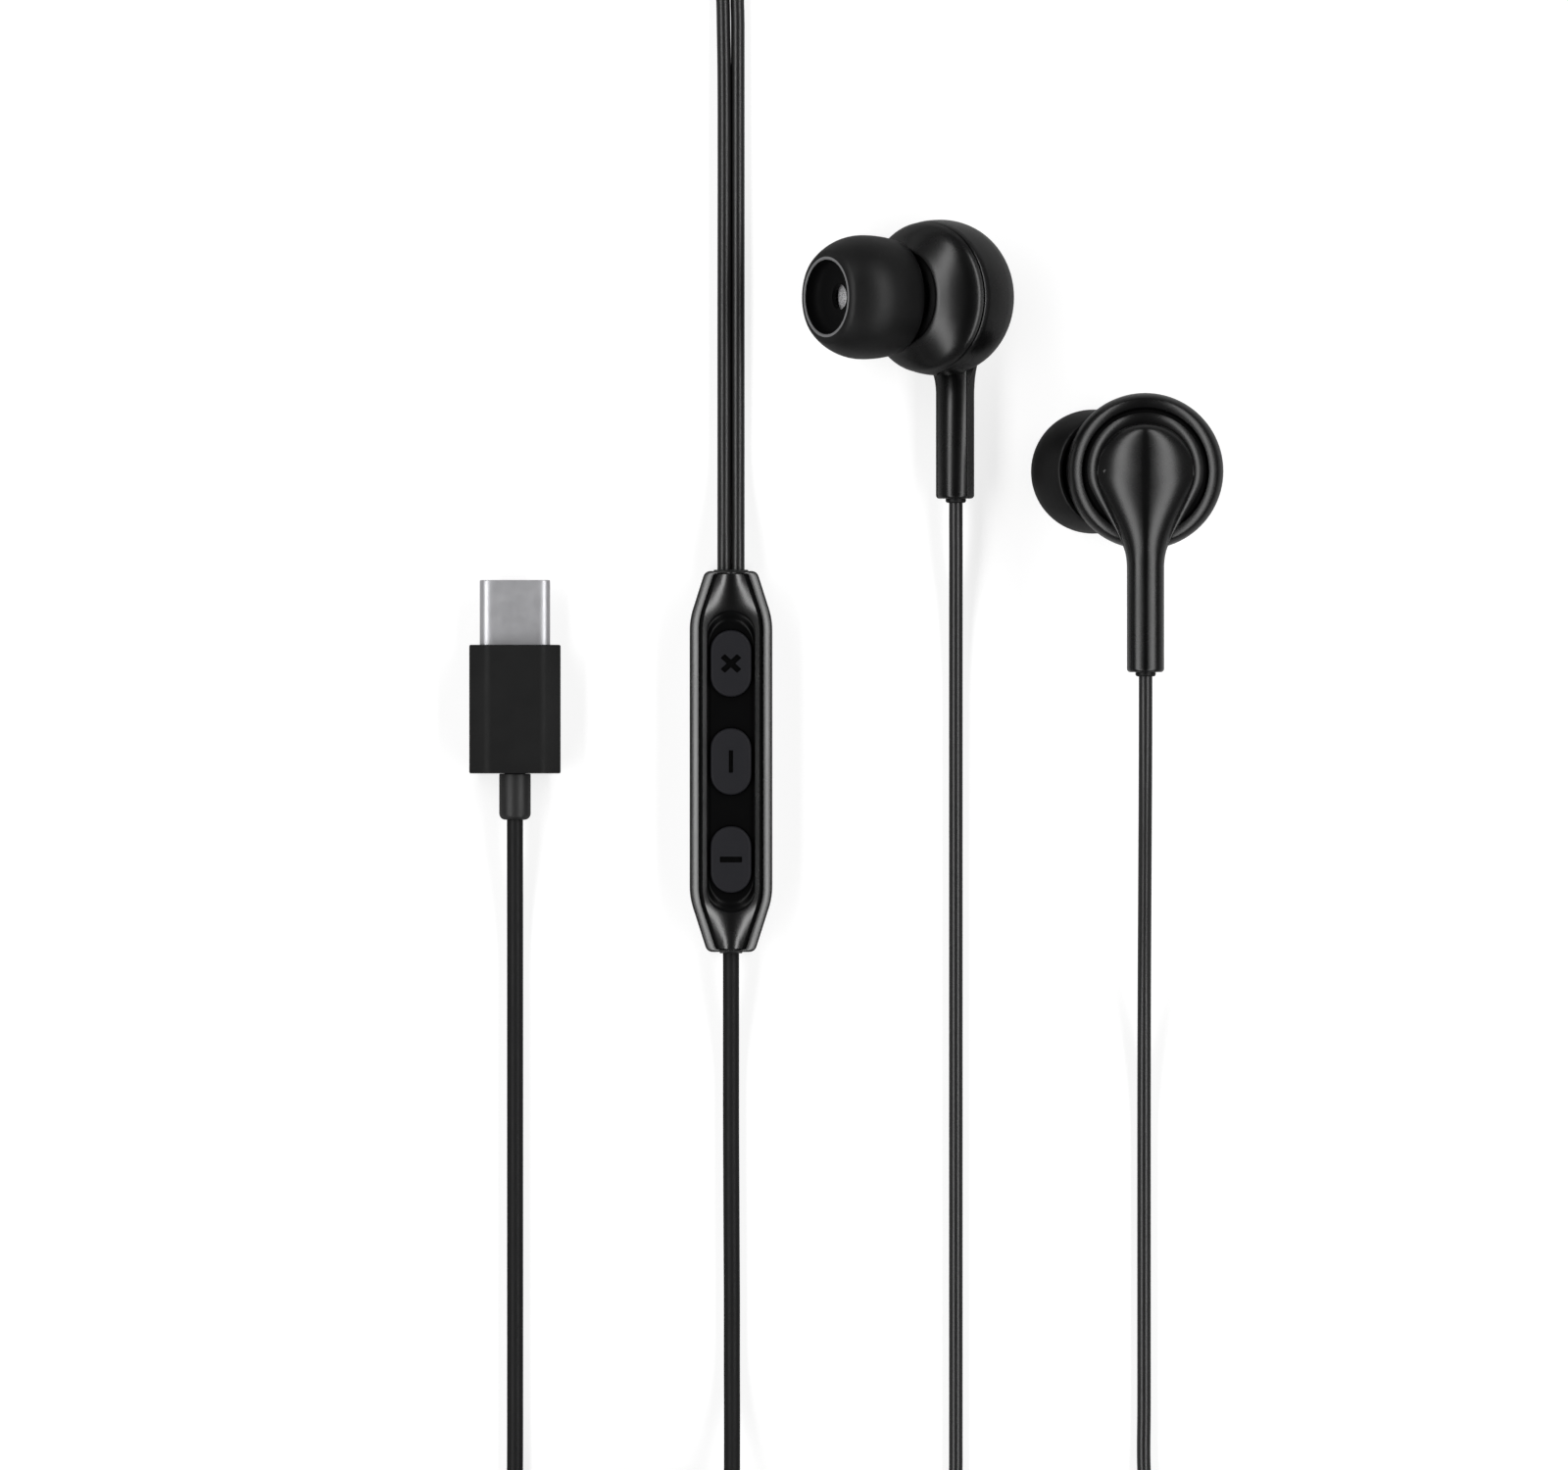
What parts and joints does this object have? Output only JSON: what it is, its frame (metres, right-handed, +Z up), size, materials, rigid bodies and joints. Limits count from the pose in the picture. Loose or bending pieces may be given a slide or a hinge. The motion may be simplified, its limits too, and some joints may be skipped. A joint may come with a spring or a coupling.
{
  "type": "wired earphones",
  "caption": "In-ear wired earphones with silicone tips, an in-line button remote and a flat metal-shelled plug, laid out with the spare cord coiled and tied.",
  "frame": {"origin": "on the table, under the middle of the box round the remote and the two earbuds", "axes": "+Z is up from the table. +Y is the way the plug points. +X runs from the plug toward the earbuds."},
  "size_m": [0.1398, 0.2223, 0.0205],
  "materials": {
    "gloss_black": "piano gloss",
    "satin_black": "satin",
    "ear_silicone": "matte",
    "button_rubber": "matte",
    "cord_skin": "satin",
    "plug_rubber": "matte",
    "nickel": "satin plated",
    "gold": "plated",
    "dark_steel": "satin",
    "copper": "enamelled wire",
    "board_green": "solder mask",
    "chip_black": "matte",
    "amber_film": "thin film",
    "tie_plastic": "satin"
  },
  "bodies": {
    "earphones": {"right_front_shell": "gloss_black", "right_rear_ring": "gloss_black", "right_rear_plate": "gloss_black", "right_back_cover": "gloss_black", "right_stem_front": "gloss_black", "right_cord_bush": "ear_silicone", "right_terminal_board": "board_green", "right_yoke_cup": "dark_steel", "right_magnet": "dark_steel", "right_top_plate": "dark_steel", "right_voice_coil": "copper", "right_driver_basket": "satin_black", "right_diaphragm": "amber_film", "right_nozzle_mesh": "dark_steel", "left_front_shell": "gloss_black", "left_rear_ring": "gloss_black", "left_rear_plate": "gloss_black", "left_back_cover": "gloss_black", "left_stem_front": "gloss_black", "left_cord_bush": "ear_silicone", "left_terminal_board": "board_green", "left_yoke_cup": "dark_steel", "left_magnet": "dark_steel", "left_top_plate": "dark_steel", "left_voice_coil": "copper", "left_driver_basket": "satin_black", "left_diaphragm": "amber_film", "left_nozzle_mesh": "dark_steel", "remote_front_shell": "gloss_black", "remote_back_shell": "gloss_black", "remote_board": "board_green", "microphone": "nickel", "lead_clamp": "satin_black", "main_cord_clamp": "satin_black", "volume_up_switch": "nickel", "call_switch": "nickel", "volume_down_switch": "nickel", "connector_shell": "nickel", "contact_carrier": "chip_black", "upper_contacts": "gold", "lower_contacts": "gold", "latch_plate": "nickel", "plug_board": "board_green", "audio_chip": "chip_black", "plug_body": "plug_rubber", "strain_relief": "plug_rubber", "main_cord_plug_side": "cord_skin", "main_cord_coil": "cord_skin", "main_cord_remote_side": "cord_skin", "right_lead": "cord_skin", "left_lead": "cord_skin", "coil_tie": "tie_plastic"},
    "right_tip": {"right_ear_tip": "ear_silicone"},
    "left_tip": {"left_ear_tip": "ear_silicone"},
    "volume_up": {"volume_up_button": "button_rubber", "volume_up_plunger": "satin_black"},
    "call": {"call_button": "button_rubber", "call_plunger": "satin_black"},
    "volume_down": {"volume_down_button": "button_rubber", "volume_down_plunger": "satin_black"}
  },
  "joints": [
    {"name": "right_tip_pull", "type": "slide", "parent": "earphones", "child": "right_tip", "axis": [-0.8241, 0, 0.5664], "range_m": [0, 0.008]},
    {"name": "left_tip_pull", "type": "slide", "parent": "earphones", "child": "left_tip", "axis": [-0.4462, 0, -0.8949], "range_m": [0, 0.008]},
    {"name": "volume_up_press", "type": "slide", "parent": "earphones", "child": "volume_up", "axis": [0, 0, -1], "range_m": [0, 0.00035], "stiffness_N_per_m": 150},
    {"name": "call_press", "type": "slide", "parent": "earphones", "child": "call", "axis": [0, 0, -1], "range_m": [0, 0.00035], "stiffness_N_per_m": 150},
    {"name": "volume_down_press", "type": "slide", "parent": "earphones", "child": "volume_down", "axis": [0, 0, -1], "range_m": [0, 0.00035], "stiffness_N_per_m": 150}
  ]
}
